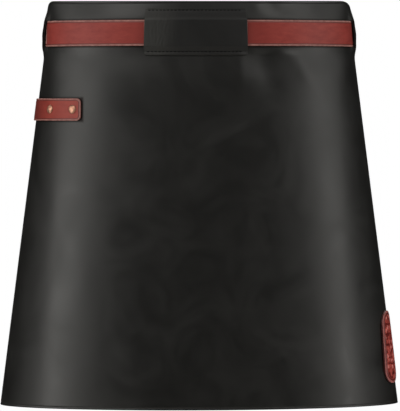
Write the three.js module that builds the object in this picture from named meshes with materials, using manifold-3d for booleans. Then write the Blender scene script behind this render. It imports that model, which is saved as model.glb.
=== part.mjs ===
// Leather waist apron, in the form it takes when worn: a bent leather panel, the belt that goes through it,
// a sewn belt tunnel, a riveted towel loop, a label and a plain clasp at the back.
// Millimetres, +Z up, the front faces -Y. The origin is the middle of the waist at the belt's mid height.
import * as THREE from "three";
import { mergeVertices } from "three/addons/utils/BufferGeometryUtils.js";
import Module from "manifold-3d";

const wasm = await Module();
wasm.setup();

// Driving dimensions
const gap = 0.3; // clearance between pieces that lie on each other
const waist = { halfWidth: 179.4, halfDepth: 105.8, bandHalf: 18.5 };
const drape = { sideFlare: 0.1268, frontFlare: 0.033, sideLean: 0.075, frontLean: 0.03, rampStart: 4 };
const panel = {
  thickness: 1.6,
  top: 36,
  hem: -431.7,
  halfCutAtBelt: 237,
  cutFlare: 0.1288,
  topCorner: 37,
  topCornerReach: 156,
  hemCorner: 5,
  hemCornerReach: 36,
};
const belt = { width: 30, thickness: 2.6, frontStep: 12, sideStep: 7, slitStep: 1, foldStep: 4 };
const slit = { fromEdge: 32, width: 8, endAbove: 17.4, endBelow: -16.4, liftHalf: 17, easeUp: 14 };
const tunnel = {
  left: -63,
  right: 55,
  top: 28.2,
  bottom: -25.8,
  thickness: 1.4,
  riseFrom: 22,
  riseTo: 15.8,
  flange: 23.6,
  step: 10,
};
const towelLoop = {
  width: 25.8,
  thickness: 2.4,
  centreZ: -88,
  frontEnd: 139.4,
  loopPastEdge: 38,
  loopRadius: 9.5,
  closeBeforeEdge: 8,
  cornerRadius: 5.5,
  step: 7,
};
const rivet = {
  along: [150, 184.1],
  headRadius: 5,
  headHeight: 1.9,
  headRim: 0.5,
  shankRadius: 1.5,
  backRadius: 4,
  backFlat: 3.2,
  backHeight: 1.2,
  sides: 18,
};
const rivetHole = { radius: 1.9, length: 24, sides: 14 };
const label = {
  width: 34,
  height: 84,
  centreZ: -364.5,
  fromEdge: 30,
  tilt: 0.12,
  cornerRadius: 16,
  thickness: 2,
  columns: 6,
  step: 12,
};
const clasp = {
  width: 46,
  height: 40,
  thickness: 3,
  cornerRadius: 5,
  standOff: 4.2,
  slotWidth: 5,
  slotHeight: 32,
  slotCorner: 0.4,
  barWidth: 5,
  room: 0.5,
  foldLength: 42,
  doubleEase: 44,
};

// Soft buckles of the leather beside the tunnel: place along the front and up, half sizes, height, lean
const buckles = [
  { along: 66, up: -42, halfAlong: 8, halfUp: 32, out: 1.3, lean: 0 },
  { along: 88, up: -36, halfAlong: 13, halfUp: 23, out: -1.7, lean: -0.27 },
  { along: 116, up: -33, halfAlong: 14, halfUp: 24, out: 1.4, lean: -0.6 },
  { along: 68, up: 33, halfAlong: 8, halfUp: 12, out: 0.7, lean: 0 },
  { along: 86, up: 31, halfAlong: 9, halfUp: 11, out: -0.8, lean: 0 },
  { along: 107, up: 31, halfAlong: 12, halfUp: 12, out: 0.6, lean: 0 },
];

const buckleFade = { below: 10, above: 8 }; // the buckles die out over these heights beside the belt

// Lines of the cut panel: across by distance from the side edge and then by even steps, and down by height
const edgeColumns = [0, 1.2, 4, 9, 16, 22, 28, 36, 44];
const frontSteps = 28;
const cornerSteps = 4;
const halfTurnSteps = 12;
const rowHeights = [
  panel.top, 32, 25, slit.endAbove, 11, 4, -4, -11, slit.endBelow,
  -21, -29, -37, -47, -60, -76, -96, -122, -160, -210, -270, -335, -395, -424, panel.hem,
];

const blackLeather = { color: 0x222221, roughness: 0.45, metalness: 0 };
const redLeather = { color: 0x7c3a34, roughness: 0.5, metalness: 0 };
const brass = { color: 0xb98a5c, roughness: 0.3, metalness: 1 };

const clamp01 = (t) => Math.min(1, Math.max(0, t));
const smooth = (t) => clamp01(t) ** 2 * (3 - 2 * clamp01(t));
const ramp = (d) => (d > 0 ? (d * d) / (d + drape.rampStart) : 0);

// The body's section at a height: an ellipse, widest at the hem, that leans in from the belt's lower edge up
function section(z) {
  const below = ramp(-waist.bandHalf - z);
  const above = Math.max(0, z + waist.bandHalf);
  return {
    a: waist.halfWidth + drape.sideFlare * below - drape.sideLean * above,
    b: waist.halfDepth + drape.frontFlare * below - drape.frontLean * above,
  };
}

// Angle on the ellipse after a length s of arc from the front middle, positive to the right
function angleAt(s, { a, b }) {
  const steps = 60;
  const turn = (angle) => s / steps / Math.hypot(a * Math.cos(angle), b * Math.sin(angle));
  let angle = 0;
  for (let k = 0; k < steps; k++) angle += turn(angle + turn(angle) / 2);
  return angle;
}

// A point s along the leather from the front middle, at height z, n outside the panel's inner face
function place(s, z, n) {
  const { a, b } = section(z);
  const angle = angleAt(s, section(Math.min(z, -waist.bandHalf)));
  const across = b * Math.sin(angle);
  const ahead = -a * Math.cos(angle);
  const size = Math.hypot(across, ahead);
  return new THREE.Vector3(
    a * Math.sin(angle) + (n * across) / size,
    -b * Math.cos(angle) + (n * ahead) / size,
    z,
  );
}

// Outward direction of the leather's face
function facing(s, z) {
  const along = place(s + 1, z, 0).sub(place(s - 1, z, 0));
  const up = place(s, z + 1, 0).sub(place(s, z - 1, 0));
  return along.cross(up).normalize();
}

const halfCut = (z) => panel.halfCutAtBelt + panel.cutFlare * ramp(-waist.bandHalf - z);
const halfGirth = findHalfGirth();

function findHalfGirth() {
  let low = waist.halfWidth;
  let high = 4 * waist.halfWidth;
  for (let k = 0; k < 50; k++) {
    const middle = (low + high) / 2;
    if (angleAt(middle, section(-waist.bandHalf)) < Math.PI) low = middle;
    else high = middle;
  }
  return low;
}

function geometryFrom(points, triangles) {
  const geometry = new THREE.BufferGeometry();
  const places = points.flatMap((p) => [p.x, p.y, p.z]);
  geometry.setAttribute("position", new THREE.Float32BufferAttribute(places, 3));
  geometry.setIndex(triangles);
  return geometry;
}

// One closed wall over a grid of spots { s, z, inner, outer }, with the cells that isCut names left open
function wall(spots, isCut = () => false) {
  const columns = spots.length;
  const rows = spots[0].length;
  const kept = (i, j) => i >= 0 && j >= 0 && i < columns - 1 && j < rows - 1 && !isCut(i, j);
  const outer = (i, j) => 2 * (i * rows + j);
  const points = spots.flat().flatMap((spot) => [
    place(spot.s, spot.z, spot.outer),
    place(spot.s, spot.z, spot.inner),
  ]);
  const triangles = [];
  const quad = (p, q, r, t) => triangles.push(p, q, r, p, r, t);
  for (let i = 0; i < columns - 1; i++) {
    for (let j = 0; j < rows - 1; j++) {
      if (!kept(i, j)) continue;
      const corners = [outer(i, j), outer(i, j + 1), outer(i + 1, j + 1), outer(i + 1, j)];
      const neighbours = [kept(i - 1, j), kept(i, j + 1), kept(i + 1, j), kept(i, j - 1)];
      quad(...corners);
      quad(...corners.map((corner) => corner + 1).reverse());
      neighbours.forEach((joined, side) => {
        const from = corners[side];
        const to = corners[(side + 1) % 4];
        if (!joined) quad(to, from, from + 1, to + 1);
      });
    }
  }
  return geometryFrom(points, triangles);
}

// A flat strap along a path of { s, n }, with its lower and upper edge given for each place on the path
function strap(path, thickness, edgesAt) {
  const points = [];
  path.forEach(({ s, n }, k) => {
    const before = path[Math.max(0, k - 1)];
    const after = path[Math.min(path.length - 1, k + 1)];
    const size = Math.hypot(after.s - before.s, after.n - before.n);
    const sideS = (-(after.n - before.n) / size) * (thickness / 2);
    const sideN = ((after.s - before.s) / size) * (thickness / 2);
    const { low, high } = edgesAt(k);
    points.push(place(s + sideS, high, n + sideN), place(s + sideS, low, n + sideN));
    points.push(place(s - sideS, low, n - sideN), place(s - sideS, high, n - sideN));
  });
  const triangles = [];
  const last = 4 * (path.length - 1);
  for (let k = 0; k < last; k += 4) {
    for (let r = 0; r < 4; r++) {
      const next = (r + 1) % 4;
      triangles.push(k + r, k + next, k + 4 + next, k + r, k + 4 + next, k + 4 + r);
    }
  }
  triangles.push(0, 3, 2, 0, 2, 1, last, last + 1, last + 2, last, last + 2, last + 3);
  return geometryFrom(points, triangles);
}

// Even steps from one place to another, both ends included
function steps(from, to, step) {
  const count = Math.max(1, Math.ceil(Math.abs(to - from) / step));
  return Array.from({ length: count + 1 }, (_, k) => from + ((to - from) * k) / count);
}

// A half turn of a strap's path about a centre, from its outer to its inner side or back
function halfTurn(centreS, centreN, radius) {
  return Array.from({ length: halfTurnSteps + 1 }, (_, k) => {
    const angle = Math.PI / 2 - (Math.PI * k) / halfTurnSteps;
    return { s: centreS + radius * Math.cos(angle), n: centreN + radius * Math.sin(angle) };
  });
}

function solid(geometry) {
  const bare = geometry.clone();
  bare.deleteAttribute("normal");
  bare.deleteAttribute("uv");
  const merged = mergeVertices(bare, 1e-4);
  const index = merged.index.array;
  const triangles = [];
  for (let k = 0; k < index.length; k += 3) {
    const [p, q, r] = [index[k], index[k + 1], index[k + 2]];
    if (p !== q && q !== r && r !== p) triangles.push(p, q, r);
  }
  const vertProperties = new Float32Array(merged.attributes.position.array);
  const triVerts = new Uint32Array(triangles);
  return new wasm.Manifold(new wasm.Mesh({ numProp: 3, vertProperties, triVerts }));
}

function geometryOf(manifold) {
  const { vertProperties, triVerts } = manifold.getMesh();
  const geometry = new THREE.BufferGeometry();
  geometry.setAttribute("position", new THREE.BufferAttribute(new Float32Array(vertProperties), 3));
  geometry.setIndex(new THREE.BufferAttribute(new Uint32Array(triVerts), 1));
  return geometry;
}

function buckleAt(s, z) {
  const below = smooth((-waist.bandHalf - z) / buckleFade.below);
  const above = smooth((z - waist.bandHalf) / buckleFade.above);
  let height = 0;
  for (const { along, up, halfAlong, halfUp, out, lean } of buckles) {
    const across = (s - along - lean * (z - up)) / halfAlong;
    const down = (z - up) / halfUp;
    height += out * Math.exp(-across * across - down * down);
  }
  return (below + above) * height;
}

// The panel's leather between a slit and the side edge is lifted by the belt that runs under it
function slitLift(fromEdge, z) {
  const lift = belt.thickness + 2 * gap;
  const past = Math.abs(z) - slit.liftHalf;
  return fromEdge < slit.fromEdge ? lift * smooth(1 - past / slit.easeUp) : 0;
}

// How far a rounded corner's edge falls back at a distance from its end, and the lines across such a corner
const cornerDrop = (radius, fromEdge) =>
  radius - Math.sqrt(radius ** 2 - Math.max(0, radius - fromEdge) ** 2);

const cornerLines = (radius, count) =>
  Array.from({ length: count + 1 }, (_, k) => radius * (1 - Math.cos((k * Math.PI) / 2 / count)));

// One spot of the panel: side -1 or 1 with the distance from the side edge, or a share of the front
function panelSpot({ side, fromEdge, share }, height) {
  const distance = fromEdge ?? panel.topCorner;
  const nearTop = clamp01(1 - (panel.top - height) / panel.topCornerReach);
  const nearHem = clamp01(1 - (height - panel.hem) / panel.hemCornerReach);
  const sunk = cornerDrop(panel.topCorner, distance) * nearTop;
  const raised = cornerDrop(panel.hemCorner, distance) * nearHem;
  const z = height - sunk + raised;
  const frontHalf = halfCut(z) - edgeColumns.at(-1);
  const s = share === undefined ? side * (halfCut(z) - fromEdge) : share * frontHalf;
  const lift = slitLift(halfCut(z) - Math.abs(s), z) + buckleAt(s, z);
  return { s, z, inner: lift, outer: lift + panel.thickness };
}

function apronPanel() {
  const columns = [
    ...edgeColumns.map((fromEdge) => ({ side: -1, fromEdge })),
    ...Array.from({ length: frontSteps - 1 }, (_, k) => ({ share: (2 * (k + 1)) / frontSteps - 1 })),
    ...edgeColumns.toReversed().map((fromEdge) => ({ side: 1, fromEdge })),
  ];
  const spots = columns.map((column) => rowHeights.map((height) => panelSpot(column, height)));
  const slitOuter = edgeColumns.indexOf(slit.fromEdge - slit.width / 2);
  const slitColumns = [slitOuter, columns.length - 2 - slitOuter];
  const firstRow = rowHeights.indexOf(slit.endAbove);
  const endRow = rowHeights.indexOf(slit.endBelow);
  const isCut = (i, j) => slitColumns.includes(i) && j >= firstRow && j < endRow;
  return wall(spots, isCut);
}

function beltPath() {
  const over = panel.thickness + gap + belt.thickness / 2;
  const under = gap + belt.thickness / 2;
  const slitAt = panel.halfCutAtBelt - slit.fromEdge;
  const turnAt = halfGirth - (clasp.width / 2 - clasp.barWidth) + gap;
  const curveDrop = section(0).b - place(turnAt, 0, 0).y;
  const barMiddle = clasp.standOff + clasp.thickness / 2 + curveDrop;
  const turnRadius = clasp.thickness / 2 + clasp.room + belt.thickness / 2;
  const foldEnd = turnAt - clasp.foldLength;
  const doubleFrom = foldEnd - clasp.doubleEase;
  const height = (s) => {
    const front = over + (under - over) * smooth((s - slitAt) / slit.width + 0.5);
    return front + (barMiddle + turnRadius - under) * smooth((s - doubleFrom) / clasp.doubleEase);
  };
  const places = [
    ...steps(0, slitAt - slit.width / 2, belt.frontStep),
    ...steps(slitAt - slit.width / 2, slitAt + slit.width / 2, belt.slitStep).slice(1),
    ...steps(slitAt + slit.width / 2, doubleFrom, belt.sideStep).slice(1),
    ...steps(doubleFrom, foldEnd, belt.foldStep).slice(1),
    ...steps(foldEnd, turnAt, belt.sideStep).slice(1, -1),
  ];
  const half = [
    ...places.map((s) => ({ s, n: height(s) })),
    ...halfTurn(turnAt, barMiddle, turnRadius),
    ...steps(turnAt, foldEnd, belt.sideStep).slice(1).map((s) => ({ s, n: barMiddle - turnRadius })),
  ];
  const mirrored = half.slice(1).reverse().map(({ s, n }) => ({ s: -s, n }));
  return [...mirrored, ...half];
}

function beltStrap() {
  return strap(beltPath(), belt.thickness, () => ({ low: -belt.width / 2, high: belt.width / 2 }));
}

function beltTunnel() {
  const overBelt = belt.thickness + gap;
  const riseMiddle = (tunnel.riseFrom + tunnel.riseTo) / 2;
  const slope = [tunnel.flange, tunnel.riseFrom, riseMiddle, tunnel.riseTo, tunnel.riseTo / 2];
  const heights = [tunnel.top, ...slope, 0, ...slope.toReversed().map((z) => -z), tunnel.bottom];
  const spots = steps(tunnel.left, tunnel.right, tunnel.step).map((s) =>
    heights.map((z) => {
      const rise = overBelt * smooth((tunnel.riseFrom - Math.abs(z)) / (tunnel.riseFrom - tunnel.riseTo));
      const inner = panel.thickness + gap + rise;
      return { s, z, inner, outer: inner + tunnel.thickness };
    }),
  );
  return wall(spots);
}

// The towel strap lies on the panel, makes a loop past the side edge and comes back inside the panel
function towelPath() {
  const outside = panel.thickness + gap + towelLoop.thickness / 2;
  const inside = -gap - towelLoop.thickness / 2;
  const edge = halfCut(towelLoop.centreZ);
  const turnAt = edge + towelLoop.loopPastEdge;
  const innerAtTurn = outside - 2 * towelLoop.loopRadius;
  const closed = edge - towelLoop.closeBeforeEdge;
  const back = (s) => innerAtTurn + (inside - innerAtTurn) * smooth((turnAt - s) / (turnAt - closed));
  const corner = towelLoop.cornerRadius;
  const endSteps = cornerLines(corner, cornerSteps).map((fromEnd) => towelLoop.frontEnd + fromEnd);
  const run = steps(towelLoop.frontEnd + corner, turnAt, towelLoop.step).slice(1, -1);
  const outer = [...endSteps, ...run].map((s) => ({ s, n: outside }));
  const inner = [...endSteps, ...run].reverse().map((s) => ({ s, n: back(s) }));
  return [...outer, ...halfTurn(turnAt, outside - towelLoop.loopRadius, towelLoop.loopRadius), ...inner];
}

function towelStrap() {
  const path = towelPath().map(({ s, n }) => ({ s: -s, n })).reverse();
  const corner = towelLoop.cornerRadius;
  const edgesAt = (k) => {
    const fromEnd = Math.abs(path[k].s) - towelLoop.frontEnd;
    const half = towelLoop.width / 2 - cornerDrop(corner, fromEnd);
    return { low: towelLoop.centreZ - half, high: towelLoop.centreZ + half };
  };
  return strap(path, towelLoop.thickness, edgesAt);
}

function sideLabel() {
  const corner = label.cornerRadius;
  const fromEnds = cornerLines(corner, cornerSteps + 1);
  const middle = steps(corner, label.height - corner, label.step).slice(1, -1);
  const downs = [...fromEnds, ...middle, ...fromEnds.toReversed().map((e) => label.height - e)];
  const across = steps(-1, 1, 2 / label.columns);
  const inner = panel.thickness + gap;
  const spots = across.map((share) =>
    downs.map((down) => {
      const z = label.centreZ + label.height / 2 - down;
      const half = label.width / 2 - cornerDrop(corner, Math.min(down, label.height - down));
      const middleS = halfCut(z) - label.fromEdge + label.tilt * (z - label.centreZ);
      const s = middleS + share * half;
      return { s, z, inner, outer: inner + label.thickness };
    }),
  );
  return wall(spots);
}

function turnedTo(geometry, s, z) {
  const turn = new THREE.Quaternion().setFromUnitVectors(new THREE.Vector3(0, 1, 0), facing(s, z));
  geometry.applyQuaternion(turn);
  geometry.translate(...place(s, z, 0).toArray());
  return geometry;
}

const rivetDrill = (along) =>
  turnedTo(
    new THREE.CylinderGeometry(rivetHole.radius, rivetHole.radius, rivetHole.length, rivetHole.sides),
    -along,
    towelLoop.centreZ,
  );

function drilled(geometry) {
  let body = solid(geometry);
  for (const along of rivet.along) body = body.subtract(solid(rivetDrill(along)));
  return geometryOf(body);
}

// A rivet: domed head outside the strap, shank through all layers, flat cap inside
function rivetGeometry(along) {
  const headAt = panel.thickness + towelLoop.thickness + 2 * gap;
  const backAt = -towelLoop.thickness - 2 * gap;
  const domeSteps = 5;
  const dome = Array.from({ length: domeSteps }, (_, k) => {
    const angle = (k * Math.PI) / 2 / domeSteps;
    const height = rivet.headRim + (rivet.headHeight - rivet.headRim) * Math.sin(angle);
    return new THREE.Vector2(rivet.headRadius * Math.cos(angle), headAt + height);
  });
  const profile = [
    new THREE.Vector2(0, backAt - rivet.backHeight),
    new THREE.Vector2(rivet.backFlat, backAt - rivet.backHeight),
    new THREE.Vector2(rivet.backRadius, backAt - rivet.backHeight / 2),
    new THREE.Vector2(rivet.backRadius, backAt),
    new THREE.Vector2(rivet.shankRadius, backAt),
    new THREE.Vector2(rivet.shankRadius, headAt),
    new THREE.Vector2(rivet.headRadius, headAt),
    ...dome,
    new THREE.Vector2(0, headAt + rivet.headHeight),
  ];
  const turned = turnedTo(new THREE.LatheGeometry(profile, rivet.sides), -along, towelLoop.centreZ);
  return geometryOf(solid(turned));
}

function roundedRectangle(middleX, width, height, radius) {
  const arcSteps = 5;
  const signs = [[1, 1], [-1, 1], [-1, -1], [1, -1]];
  return signs.flatMap(([right, up], corner) =>
    Array.from({ length: arcSteps + 1 }, (_, k) => {
      const angle = ((corner + k / arcSteps) * Math.PI) / 2;
      return new THREE.Vector2(
        middleX + right * (width / 2 - radius) + radius * Math.cos(angle),
        up * (height / 2 - radius) + radius * Math.sin(angle),
      );
    }),
  );
}

// A flat plate with a slot near each end that the belt's end folds through
function beltClasp() {
  const plate = new THREE.Shape(roundedRectangle(0, clasp.width, clasp.height, clasp.cornerRadius));
  const slotX = clasp.width / 2 - clasp.barWidth - clasp.slotWidth / 2;
  for (const side of [-1, 1]) {
    const outline = roundedRectangle(side * slotX, clasp.slotWidth, clasp.slotHeight, clasp.slotCorner);
    plate.holes.push(new THREE.Path(outline));
  }
  const geometry = new THREE.ExtrudeGeometry(plate, { depth: clasp.thickness, bevelEnabled: false });
  geometry.rotateX(Math.PI / 2);
  geometry.translate(0, clasp.standOff + clasp.thickness, 0);
  geometry.rotateX(Math.atan(drape.frontLean));
  geometry.translate(0, section(0).b, 0);
  return geometry;
}

function piece(name, geometry, finish) {
  const mesh = new THREE.Mesh(geometry, new THREE.MeshStandardMaterial(finish));
  mesh.name = name;
  return mesh;
}

const apron = new THREE.Group();
apron.name = "leather_waist_apron";
apron.add(
  piece("apron_panel", drilled(apronPanel()), blackLeather),
  piece("belt", beltStrap(), redLeather),
  piece("belt_tunnel", beltTunnel(), blackLeather),
  piece("towel_loop", drilled(towelStrap()), redLeather),
  ...rivet.along.map((along, k) => piece(`towel_loop_rivet_${k + 1}`, rivetGeometry(along), brass)),
  piece("side_label", sideLabel(), redLeather),
  piece("belt_clasp", beltClasp(), brass),
);

export default apron;
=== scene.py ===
# Leather waist apron: the looks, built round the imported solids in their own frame
import math

import bpy
import numpy as np
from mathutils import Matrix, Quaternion, Vector
from mathutils.geometry import delaunay_2d_cdt


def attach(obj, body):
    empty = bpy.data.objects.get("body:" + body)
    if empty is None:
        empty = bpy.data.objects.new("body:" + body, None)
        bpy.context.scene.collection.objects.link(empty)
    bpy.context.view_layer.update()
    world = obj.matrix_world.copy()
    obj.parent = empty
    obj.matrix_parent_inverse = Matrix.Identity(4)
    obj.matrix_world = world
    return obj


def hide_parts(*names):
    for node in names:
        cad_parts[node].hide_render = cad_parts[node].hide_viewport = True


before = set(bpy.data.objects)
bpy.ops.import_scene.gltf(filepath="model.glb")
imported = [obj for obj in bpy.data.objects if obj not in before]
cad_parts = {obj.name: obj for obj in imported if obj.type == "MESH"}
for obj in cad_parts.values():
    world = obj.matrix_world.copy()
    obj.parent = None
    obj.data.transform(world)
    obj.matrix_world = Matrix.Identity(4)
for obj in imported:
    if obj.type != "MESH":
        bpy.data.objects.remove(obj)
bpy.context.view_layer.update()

mm = 0.001
gap = 0.3  # clearance between leathers that lie on each other, in mm as all flat sizes here

# The worn form: ellipse sections, straight at the belt and wider to the hem
waist = {"halfWidth": 179.4, "halfDepth": 105.8, "bandHalf": 18.5}
drape = {"sideFlare": 0.1268, "frontFlare": 0.033, "sideLean": 0.075, "frontLean": 0.03, "rampStart": 4}


def smooth(t):
    t = np.clip(t, 0, 1)
    return t * t * (3 - 2 * t)


def ramp(d):
    d = np.maximum(d, 0)
    return d * d / (d + drape["rampStart"])


def section(z):
    below = ramp(-waist["bandHalf"] - z)
    above = np.maximum(0, z + waist["bandHalf"])
    a = waist["halfWidth"] + drape["sideFlare"] * below - drape["sideLean"] * above
    b = waist["halfDepth"] + drape["frontFlare"] * below - drape["frontLean"] * above
    return a, b


# Angle on the ellipse after a length s of arc from the front middle
def angleAt(s, a, b):
    steps = 60
    angle = np.zeros_like(s)
    for k in range(steps):
        middle = angle + s / steps / np.hypot(a * np.cos(angle), b * np.sin(angle)) / 2
        angle = angle + s / steps / np.hypot(a * np.cos(middle), b * np.sin(middle))
    return angle


# Points s along the leather from the front middle, at height z, n outside the panel's inner face, in metres
def place(s, z, n):
    s, z, n = np.broadcast_arrays(*(np.asarray(x, float) for x in (s, z, n)))
    a, b = section(z)
    angle = angleAt(s, *section(np.minimum(z, -waist["bandHalf"])))
    across = b * np.sin(angle)
    ahead = -a * np.cos(angle)
    size = np.hypot(across, ahead)
    x = a * np.sin(angle) + n * across / size
    y = -b * np.cos(angle) + n * ahead / size
    return np.stack([x, y, z], -1) * mm


def facing(s, z):
    along = place(s + 1, z, 0) - place(s - 1, z, 0)
    up = place(s, z + 1, 0) - place(s, z - 1, 0)
    return Vector(np.cross(along, up)).normalized()


# Flat cutting: outlines are closed loops of (across, up) in mm, counterclockwise
cutting = {
    "fewest": 8,  # points on the smallest outline
    "cornerPoints": 13,
    "holeSides": 28,
    "sharpest": 0.3,  # limits how far a sharp corner moves when its loop is inset
    "turnDeg": (0, 30, 60, 90),  # steps round a cut edge
    "creaseShares": (-1, -0.5, 0, 0.5, 1),  # steps across a pressed line
    "clear": 0.6,  # share of the spacing that stays free beside the last ring
    "snap": 1e-7,
    "leastFace": 1e-3,  # double area under which a face is a sliver on a straight edge
}

# Material slots of a cut piece
slotOf = {"field": 0, "inside": 1, "edge": 2, "line": 3, "wall": 4, "paintedLitTops": 5}


def evenLoop(points, step):
    points = np.asarray(points, float)
    closed = np.vstack([points, points[:1]])
    lengths = np.r_[0, np.cumsum(np.linalg.norm(np.diff(closed, axis=0), axis=1))]
    count = max(cutting["fewest"], round(lengths[-1] / step))
    at = np.linspace(0, lengths[-1], count, endpoint=False)
    return np.stack([np.interp(at, lengths, closed[:, k]) for k in range(2)], 1)


def roundedRectangle(left, bottom, right, top, radius, step):
    centres = [(right - radius, top - radius), (left + radius, top - radius)]
    centres += [(left + radius, bottom + radius), (right - radius, bottom + radius)]
    points = []
    for k, (x, z) in enumerate(centres):
        for angle in np.radians(np.linspace(90 * k, 90 * k + 90, cutting["cornerPoints"])):
            points.append((x + radius * math.cos(angle), z + radius * math.sin(angle)))
    return evenLoop(points, step)


def circle(x, z, radius):
    angles = np.linspace(0, 2 * np.pi, cutting["holeSides"], endpoint=False)
    return np.stack([x + radius * np.cos(angles), z + radius * np.sin(angles)], 1)


# The loop moved by a distance to its left, which is into the leather on a counterclockwise outline
def inset(loop, distance):
    ahead = np.roll(loop, -1, 0) - loop
    ahead /= np.linalg.norm(ahead, axis=1)[:, None]
    left = np.stack([-ahead[:, 1], ahead[:, 0]], 1)
    both = left + np.roll(left, 1, 0)
    both /= np.maximum(cutting["sharpest"], (both * both).sum(1) / 2)[:, None]
    return loop + distance * both


def isInside(points, loop):
    found = np.zeros(len(points), bool)
    for (x0, z0), (x1, z1) in zip(loop, np.roll(loop, -1, 0)):
        crosses = (z0 > points[:, 1]) != (z1 > points[:, 1])
        if z0 != z1:
            found ^= crosses & (points[:, 0] < (x1 - x0) * (points[:, 1] - z0) / (z1 - z0) + x0)
    return found


def distanceTo(points, loop):
    nearest = np.full(len(points), np.inf)
    for x, z in loop:
        nearest = np.minimum(nearest, (points[:, 0] - x) ** 2 + (points[:, 1] - z) ** 2)
    return np.sqrt(nearest)


def hexGrid(low, high, spacing):
    rows = np.arange(low[1], high[1], spacing * math.sqrt(0.75))
    columns = np.arange(low[0], high[0], spacing)
    shift = np.where(np.arange(len(rows)) % 2, spacing / 2, 0)
    across = columns[None, :] + shift[:, None]
    return np.stack([across.ravel(), np.repeat(rows, len(columns))], 1)


# The steps from a cut edge into the leather: each has its inset, the drops of the outer and the inner face,
# and the material slot that leads up to it
def edgeSteps(cut, creased):
    radius = cut["edgeRound"]
    steps = []
    for k, a in enumerate(np.radians(cutting["turnDeg"])):
        drop = radius * (1 - math.sin(a))
        slot = slotOf["edge"] if k > 1 else cut.get("wallSlot", slotOf["edge"])
        steps.append((radius * (1 - math.cos(a)), drop, drop, slot))
    if creased:
        for share in cutting["creaseShares"]:
            at = cut["crease"] + share * cut["creaseHalf"]
            drop = cut["creaseDepth"] * math.cos(share * math.pi / 2) ** 2
            steps.append((at, drop, 0, slotOf["line"] if share > -1 else cut["rimSlot"]))
    return steps + [(steps[-1][0] + cut["margin"], 0, 0, slotOf["field"])]


# One cut piece as a closed mesh: rounded cut edges, for some a pressed crease beside them, then the field.
# lay(across, up, n) puts flat points in the frame, relief(across, up) raises the outer face,
# and tone(across, up) gives the material slots of its field.
def cutPiece(name, cut, outline, holes, lay, materials, relief=None, tone=None):
    loops = [outline, *[hole[::-1] for hole in holes]]
    steps = [edgeSteps(cut, k == 0 and "crease" in cut) for k in range(len(loops))]
    rings = [[inset(loop, step[0]) for step in taken] for loop, taken in zip(loops, steps)]
    fields = [ring[-1] for ring in rings]
    grid = hexGrid(outline.min(0), outline.max(0), cut["spacing"])
    grid = grid[isInside(grid, fields[0])]
    for k, field in enumerate(fields):
        kept = distanceTo(grid, field) > cutting["clear"] * cut["spacing"]
        grid = grid[kept if k == 0 else kept & ~isInside(grid, field)]
    flat = np.vstack([*[p for ring in rings for p in ring], grid])
    drops = []
    for ring, taken in zip(rings, steps):
        drops += [np.full((len(p), 2), step[1:3]) for p, step in zip(ring, taken)]
    drops = np.vstack([*drops, np.zeros((len(grid), 2))])

    # the open field between the last rings is filled with even triangles
    starts = np.cumsum([0] + [len(ring) * len(ring[0]) for ring in rings])
    borders = [np.arange(end - len(field), end) for end, field in zip(starts[1:], fields)]
    ids = np.concatenate([*borders, np.arange(starts[-1], len(flat))])
    edges = []
    first = 0
    for field in fields:
        here = first + np.arange(len(field))
        edges += np.stack([here, np.roll(here, -1)], 1).tolist()
        first += len(field)
    made = delaunay_2d_cdt([Vector(p) for p in flat[ids]], edges, [], 0, cutting["snap"], True)
    source = np.array([found[0] for found in made[3]])
    triangles = source[np.array(made[2])]

    # a face between border points alone may lie outside the field or be a sliver, and is then dropped
    bare = (triangles < first).all(1)
    corners = flat[ids][triangles[bare]]
    middles = corners.mean(1)
    inField = isInside(middles, fields[0])
    for field in fields[1:]:
        inField &= ~isInside(middles, field)
    side = corners[:, 1] - corners[:, 0]
    other = corners[:, 2] - corners[:, 0]
    doubleArea = np.abs(side[:, 0] * other[:, 1] - side[:, 1] * other[:, 0])
    kept = ~bare
    kept[bare] = inField & (doubleArea > cutting["leastFace"])
    triangles = ids[triangles[kept]]

    total = len(flat)
    across, up = flat.T
    outer = cut["thickness"] - drops[:, 0] + (relief(across, up) if relief else 0)
    points = np.vstack([lay(across, up, outer), lay(across, up, drops[:, 1])])
    roundSteps = len(cutting["turnDeg"]) - 1
    faces = []
    slots = []
    for ring, taken, start in zip(rings, steps, starts):
        count = len(ring[0])
        here = start + np.arange(count)
        after = np.roll(here, -1)
        for k in range(len(ring) - 1):
            quads = np.stack([here, after, after + count, here + count], 1) + k * count
            faces += quads.tolist() + (quads[:, ::-1] + total).tolist()
            inner = slotOf["edge"] if k < roundSteps else slotOf["inside"]
            slots += [taken[k + 1][3]] * count + [inner] * count
        faces += np.stack([here + total, after + total, after, here], 1).tolist()
        slots += [cut.get("wallSlot", slotOf["edge"])] * count
    faces += triangles.tolist() + (triangles[:, ::-1] + total).tolist()
    slots += tone(*flat[triangles].mean(1).T).tolist() if tone else [slotOf["field"]] * len(triangles)
    slots += [slotOf["inside"]] * len(triangles)
    return addMesh(name, points, faces, materials, slots)


def addMesh(name, points, faces, materials, slots=None):
    mesh = bpy.data.meshes.new(name)
    mesh.from_pydata(np.asarray(points).tolist(), [], faces)
    for material in materials:
        mesh.materials.append(material)
    if slots is not None:
        mesh.polygons.foreach_set("material_index", slots)
    mesh.polygons.foreach_set("use_smooth", [True] * len(mesh.polygons))
    mesh.update()
    made = bpy.data.objects.new(name, mesh)
    bpy.context.scene.collection.objects.link(made)
    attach(made, "root")
    print("made", name, len(mesh.polygons), "faces")
    return made


# Materials: colours are sRGB codes, turned to linear here
def colour(code):
    parts = [int(code[k:k + 2], 16) / 255 for k in (1, 3, 5)]
    return tuple(c / 12.92 if c <= 0.04045 else ((c + 0.055) / 1.055) ** 2.4 for c in parts) + (1.0,)


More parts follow.
